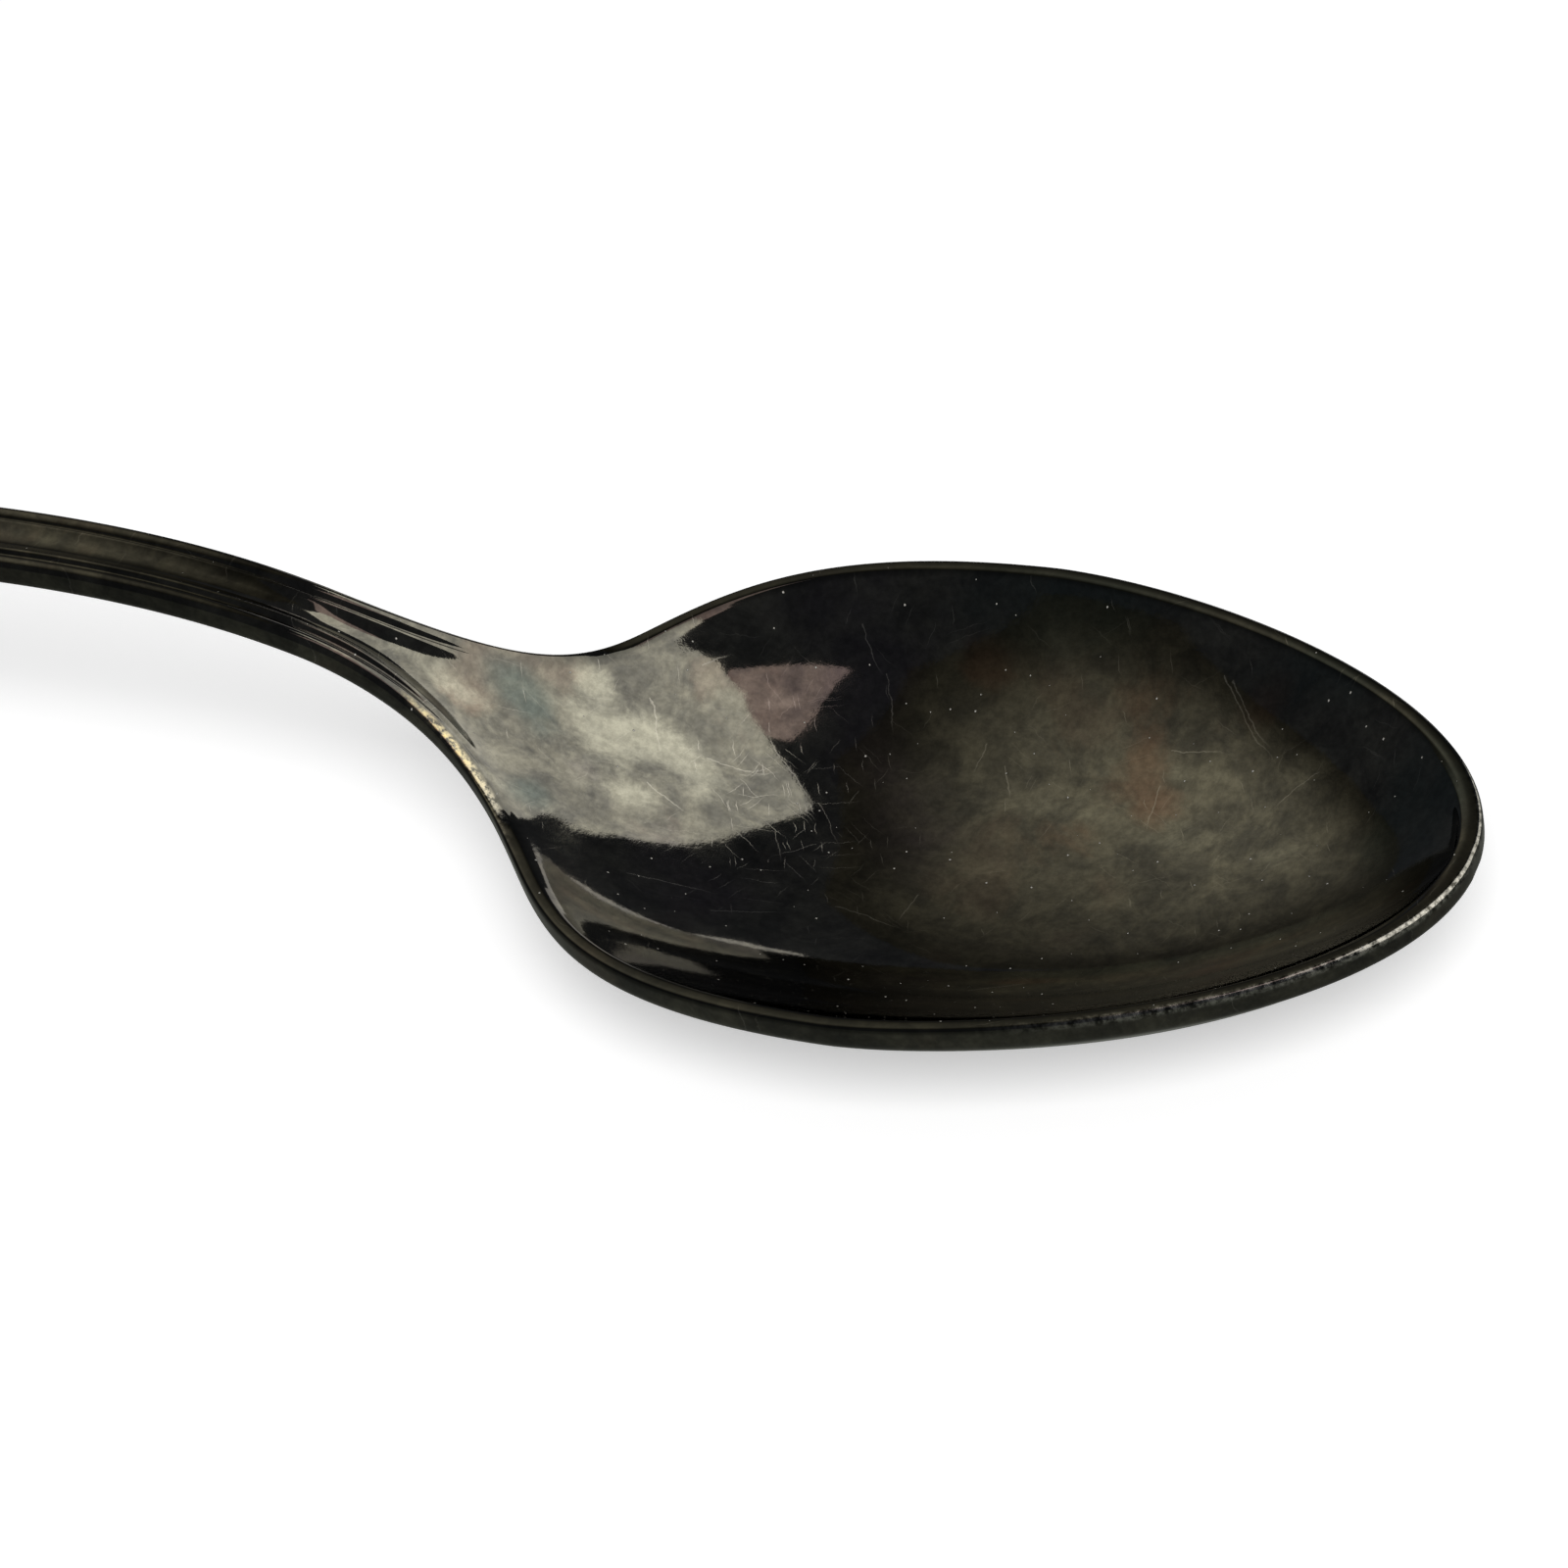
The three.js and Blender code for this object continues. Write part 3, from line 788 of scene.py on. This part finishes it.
def bumped(tree, relief):
    """Normals for a relief given in millimetres."""
    return add_node(tree, "ShaderNodeBump", {"Strength": 1.0, "Distance": mm, "Height": relief}).outputs[0]


# Scratches that catch the eye: from x, y to x, y, in millimetres
long_scratches = [
    (42.5, 10.9, 44.0, 9.2), (44.0, 9.4, 45.1, 7.0), (59.0, 10.4, 62.3, 6.8), (59.4, 10.2, 62.0, 7.4),
    (48.9, 7.6, 48.7, 6.3), (50.0, 6.8, 50.7, 5.3), (57.0, 6.5, 57.0, 4.3), (64.2, 6.5, 62.3, 5.1),
    (37.6, -4.6, 41.4, -3.6), (41.2, -4.8, 44.2, -3.2), (40.2, 5.2, 43.2, 2.6), (42.9, 3.1, 44.6, 1.0),
    (36.4, 0.7, 38.4, 0.1), (48.5, -0.4, 48.2, -2.4), (45.5, -2.2, 48.9, -2.6), (36.7, 7.0, 37.9, 8.0),
    (53.0, -6.4, 55.6, -4.9), (57.2, 8.0, 60.0, 7.7), (35.2, 4.6, 36.6, 2.2), (41.8, 1.0, 42.6, -0.8),
    (43.5, 0.9, 42.0, -0.6), (38.0, 3.2, 41.0, 3.7),
]

dark_film, pale_film = (0.066, 0.066, 0.063, 1), (0.2, 0.193, 0.158, 1)
brick_film = (0.2, 0.12, 0.085, 1)
teal_film = (0.075, 0.1, 0.095, 1)
violet_film = (0.1, 0.085, 0.105, 1)
cleaner_silver = (0.34, 0.335, 0.275, 1)
rim_shade_colour = (0.03, 0.031, 0.028, 1)
bare_metal_and_highlight = (0.5, 0.49, 0.45, 1)
golden_wear = (0.72, 0.58, 0.24, 1)
fresh_scratch = (0.5, 0.48, 0.43, 1)
grey_dust = (0.42, 0.41, 0.38, 1)

polish_roughness = 0.03
film_roughness = 0.04
wear_and_highlight_roughness = 0.25
scratch_roughness = 0.3
dust_roughness = 0.6
fleck_relief = 0.0005            # millimetres
dust_relief = 0.02
dent_relief = 0.005
scratch_width = 0.035
scratch_strength = 0.4

material, tree = new_material("tarnished_silver")
position = millimetres(tree)
wander = noise(tree, position, 0.45, 5.0, 0.6)[1]
wander = vector_calc(tree, "SUBTRACT", wander, (0.5, 0.5, 0.5))
bowed = vector_calc(tree, "ADD", position, vector_calc(tree, "MULTIPLY", wander, (0.8, 0.8, 0.0)))

film = place_group(tree, grain, Position=position, Size=6.0)
clean = ragged(tree, "clean", noise(tree, vector_calc(tree, "MULTIPLY", bowed, (0.55, 1.0, 1.0)),
                                    0.75, 7.0, 0.72, 0.8)[0], 1.5)
brick = ragged(tree, "brick", film["Cloud"], 0.9)
teal = ragged(tree, "teal", film["Cloud"], 0.5)
violet = ragged(tree, "violet", film["Cloud"], 0.5)

cloudy = calc(tree, "MULTIPLY_ADD", film["Streak"], 0.5, calc(tree, "MULTIPLY", film["Cloud"], 0.5))
mottle = noise(tree, bowed, 0.42, 6.0, 0.68, 0.6)[0]
cloudy = calc(tree, "MULTIPLY_ADD", ease(tree, mottle, 0.36, 0.68), 0.6, calc(tree, "MULTIPLY", cloudy, 0.4))
colour = blend(tree, cloudy, dark_film, pale_film)
colour = blend(tree, calc(tree, "MULTIPLY", brick, 0.5), colour, brick_film)
colour = blend(tree, calc(tree, "MULTIPLY", teal, 0.6), colour, teal_film)
colour = blend(tree, calc(tree, "MULTIPLY", violet, 0.6), colour, violet_film)
brushed = calc(tree, "MULTIPLY_ADD", film["Streak"], 0.2, 0.5)
clean = calc(tree, "MULTIPLY", clean, brushed)
colour = blend(tree, clean, colour, cleaner_silver)
speckle = calc(tree, "MULTIPLY_ADD", film["Fleck"], 0.34, 0.83)
# Toward the handle end the stem's colour is made darker
stem_dark = ease(tree, position_x(tree, position), 15.0, 27.0)
speckle = calc(tree, "MULTIPLY", speckle, calc(tree, "MULTIPLY_ADD", stem_dark, 0.35, 0.65))
colour = blend(tree, 1.0, colour, add_node(
    tree, "ShaderNodeCombineColor", {0: speckle, 1: speckle, 2: speckle}).outputs[0], "MULTIPLY")

scratches = 0.0
for from_x, from_y, to_x, to_y in long_scratches:
    mask = place_group(tree, stroke, Position=bowed, From=(from_x, from_y, 0.0), To=(to_x, to_y, 0.0),
                       Width=scratch_width)["Mask"]
    scratches = calc(tree, "MAXIMUM", calc(tree, "MULTIPLY", mask, scratch_strength), scratches)
crowded = place_group(tree, stain, Position=position, Middle=(41.8, 2.0, 0.0), Reach=(5.0, 7.0, 1000.0))
for angle, share, run, width, depth in (
        (0.5, 0.006, 2.4, 0.02, 0.16), (1.9, 0.005, 1.5, 0.022, 0.2), (2.75, 0.008, 3.2, 0.018, 0.15),
        (1.15, 0.004, 1.0, 0.028, 0.28)):
    share = calc(tree, "MULTIPLY_ADD", crowded["Mask"], 0.035, share)
    mask = place_group(
        tree, hairline, Position=bowed, Angle=angle, Length=run, Width=width, Share=share)["Mask"]
    depth = calc(tree, "MULTIPLY_ADD", crowded["Mask"], 0.3, depth)
    scratches = calc(tree, "MAXIMUM", calc(tree, "MULTIPLY", mask, depth), scratches)

# Painted shade on the flat of the bowl's rim
colour = blend(tree, calc(tree, "MULTIPLY", attribute(tree, "shaded_rim"), 0.7), colour, rim_shade_colour)
# Bright metal through wear, golden near the neck; on the rim near the tip partly a painted highlight
in_flecks = calc(tree, "MULTIPLY_ADD", film["Fleck"], 1.5, -0.15)
worn_and_highlit = calc(tree, "MULTIPLY", attribute(tree, "rubbed_and_highlit"), in_flecks, clamp=True)
gilt = calc(tree, "MULTIPLY", ease(tree, position_x(tree, position), 28.0, 34.0), -1.0)
gilt = calc(tree, "MULTIPLY", calc(tree, "ADD", gilt, 1.0), worn_and_highlit)
colour = blend(tree, worn_and_highlit, colour, bare_metal_and_highlight)
colour = blend(tree, gilt, colour, golden_wear)
colour = blend(tree, scratches, colour, fresh_scratch)

specks = place_group(tree, dust, Position=position, Spacing=1.0, Size=0.038, Share=0.2)["Mask"]
colour = blend(tree, specks, colour, grey_dust)
metal = calc(tree, "MULTIPLY_ADD", specks, -0.8, 1.0)
metal = calc(tree, "MULTIPLY_ADD", scratches, -0.2, metal, clamp=True)

rough = calc(tree, "MULTIPLY_ADD", cloudy, film_roughness, polish_roughness)
rough = calc(tree, "MULTIPLY_ADD", worn_and_highlit, wear_and_highlight_roughness, rough)
rough = calc(tree, "MULTIPLY_ADD", scratches, scratch_roughness, rough)
rough = calc(tree, "MULTIPLY_ADD", specks, dust_roughness, rough, clamp=True)

relief = calc(
    tree, "MULTIPLY_ADD", film["Fleck"], fleck_relief, calc(tree, "MULTIPLY", specks, dust_relief))
dents = noise(tree, position, 0.3, 2.0)[0]
relief = calc(tree, "MULTIPLY_ADD", dents, dent_relief, relief)
shader = add_node(tree, "ShaderNodeBsdfPrincipled", {
    "Base Color": colour, "Metallic": metal, "Roughness": rough, "Normal": bumped(tree, relief),
})
finish_material(tree, shader)
blank.data.materials.append(material)
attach(blank, "root")
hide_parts("spoon_body")


# Badge: a shield struck in brass with sunk cells, soft-soldered to the flat of the handle end, the grey
# solder just showing under its edge. The cells are filled with fired enamel, ground back flush.
weld_distance = 0.001            # millimetres
top_tolerance = 0.01
corner_angle = 0.5               # radians between two faces
bevel_steps = 3
smooth_below = math.radians(40)


def worked_copy(node, name, edge_round):
    """A copy of a CAD node's solid with its upper edges rounded over by some millimetres."""
    bpy.ops.object.select_all(action="DESELECT")
    source = bpy.data.objects[node]
    source.select_set(True)
    bpy.context.view_layer.objects.active = source
    bpy.ops.object.duplicate()
    piece = bpy.context.object
    piece.name = piece.data.name = name
    del piece["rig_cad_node"]
    piece.data.materials.clear()
    bpy.ops.object.mode_set(mode="EDIT")
    bpy.ops.mesh.customdata_custom_splitnormals_clear()
    bpy.ops.mesh.select_all(action="SELECT")
    bpy.ops.mesh.remove_doubles(threshold=weld_distance * mm)
    use_mode("EDGE")
    top = max(v.co.z for v in bmesh.from_edit_mesh(piece.data).verts) - top_tolerance * mm
    pick(lambda e: min(v.co.z for v in e.verts) > top and e.calc_face_angle(0) > corner_angle, "edges")
    bpy.ops.mesh.bevel(offset=edge_round * mm, segments=bevel_steps, affect="EDGES")
    bpy.ops.object.mode_set(mode="OBJECT")
    bpy.ops.object.shade_smooth_by_angle(angle=smooth_below)
    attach(piece, "root")
    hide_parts(node)
    return piece


solder = worked_copy("solder_seam", "solder_fillet", 0.03)
material, tree = new_material("soft_solder")
position = millimetres(tree)
film = place_group(tree, grain, Position=position, Size=1.2)
colour = blend(tree, film["Cloud"], (0.17, 0.165, 0.15, 1), (0.34, 0.33, 0.3, 1))
colour = blend(tree, calc(tree, "MULTIPLY", film["Fleck"], 0.4), colour, (0.1, 0.09, 0.07, 1))
relief = calc(tree, "MULTIPLY_ADD", film["Streak"], 0.02, calc(tree, "MULTIPLY", film["Cloud"], 0.05))
shader = add_node(tree, "ShaderNodeBsdfPrincipled", {
    "Base Color": colour, "Metallic": 1.0,
    "Roughness": calc(tree, "MULTIPLY_ADD", film["Fleck"], 0.2, 0.42), "Normal": bumped(tree, relief),
})
finish_material(tree, shader)
solder.data.materials.append(material)

plate = worked_copy("badge_plate", "struck_badge", 0.07)
plate_foot, plate_face = 1.86, 2.91
material, tree = new_material("struck_brass")
position = millimetres(tree)
film = place_group(tree, grain, Position=position, Size=2.2)
raised = ease(tree, add_node(tree, "ShaderNodeSeparateXYZ", {0: position}).outputs["Z"],
              mix(plate_foot, plate_face, 0.6), plate_face - 0.02)
colour = blend(tree, film["Cloud"], (0.2, 0.15, 0.062, 1), (0.33, 0.25, 0.105, 1))
colour = blend(tree, calc(tree, "MULTIPLY", film["Streak"], 0.35), colour, (0.1, 0.075, 0.04, 1))
polished = calc(tree, "MULTIPLY", raised, calc(tree, "MULTIPLY_ADD", film["Fleck"], 0.4, 0.5))
colour = blend(tree, polished, colour, (0.62, 0.5, 0.25, 1))
scored = 0.0
for angle, share in ((0.3, 0.16), (1.4, 0.12), (2.5, 0.1)):
    mask = place_group(
        tree, hairline, Position=position, Angle=angle, Length=1.6, Width=0.02, Share=share)["Mask"]
    scored = calc(tree, "MAXIMUM", calc(tree, "MULTIPLY", mask, 0.5), scored)
colour = blend(tree, calc(tree, "MULTIPLY", scored, raised), colour, (0.75, 0.64, 0.38, 1))
rough = calc(tree, "MULTIPLY_ADD", raised, -0.16, calc(tree, "MULTIPLY_ADD", film["Cloud"], 0.14, 0.34))
relief = calc(tree, "MULTIPLY_ADD", film["Fleck"], 0.004, calc(tree, "MULTIPLY", scored, -0.004))
shader = add_node(tree, "ShaderNodeBsdfPrincipled", {
    "Base Color": colour, "Metallic": 1.0, "Roughness": rough, "Normal": bumped(tree, relief),
})
finish_material(tree, shader)
plate.data.materials.append(material)

# Each field's deep and thin enamel colours, and how strongly its streaks run across the badge
enamels = {
    "enamel_sky": ((0.018, 0.09, 0.34, 1), (0.09, 0.25, 0.56, 1), 0.7),
    "enamel_sun": ((0.62, 0.27, 0.012, 1), (0.85, 0.52, 0.05, 1), 0.3),
    "enamel_snow": ((0.58, 0.66, 0.72, 1), (0.85, 0.86, 0.84, 1), 0.4),
    "enamel_mountain": ((0.06, 0.085, 0.12, 1), (0.17, 0.22, 0.26, 1), 0.5),
    "enamel_meadow": ((0.012, 0.1, 0.03, 1), (0.05, 0.25, 0.07, 1), 0.6),
    "enamel_lake": ((0.003, 0.12, 0.17, 1), (0.02, 0.3, 0.34, 1), 0.9),
}
for node, (deep, thin, streaks) in enamels.items():
    field = worked_copy(node, node.replace("enamel", "fired"), 0.1)
    material, tree = new_material(node.replace("enamel", "glossy"))
    position = millimetres(tree)
    film = place_group(tree, grain, Position=add_node(tree, "ShaderNodeVectorRotate", {
        "Vector": position, "Angle": math.radians(90)}, rotation_type="Z_AXIS").outputs[0], Size=2.4)
    share = calc(tree, "MULTIPLY_ADD", film["Streak"], streaks,
                 calc(tree, "MULTIPLY", film["Cloud"], 1 - streaks))
    colour = blend(tree, share, deep, thin)
    bubbles = place_group(tree, dust, Position=position, Spacing=0.42, Size=0.05, Share=0.4)["Mask"]
    colour = blend(tree, calc(tree, "MULTIPLY", bubbles, 0.55), colour, tuple(0.35 * c for c in deep))
    wiped = 0.0
    for angle in (0.7, 2.1):
        mask = place_group(
            tree, hairline, Position=position, Angle=angle, Length=1.8, Width=0.016, Share=0.12)["Mask"]
        wiped = calc(tree, "MAXIMUM", mask, wiped)
    colour = blend(tree, calc(tree, "MULTIPLY", wiped, 0.15), colour, (0.8, 0.8, 0.8, 1))
    rough = calc(tree, "MULTIPLY_ADD", film["Fleck"], 0.05, 0.07)
    rough = calc(tree, "MULTIPLY_ADD", wiped, 0.2, rough)
    relief = calc(tree, "MULTIPLY_ADD", film["Cloud"], 0.02, calc(tree, "MULTIPLY", bubbles, -0.006))
    shader = add_node(tree, "ShaderNodeBsdfPrincipled", {
        "Base Color": colour, "Roughness": rough, "IOR": 1.55, "Coat Weight": 0.4, "Coat Roughness": 0.04,
        "Normal": bumped(tree, relief),
    })
    finish_material(tree, shader)
    field.data.materials.append(material)
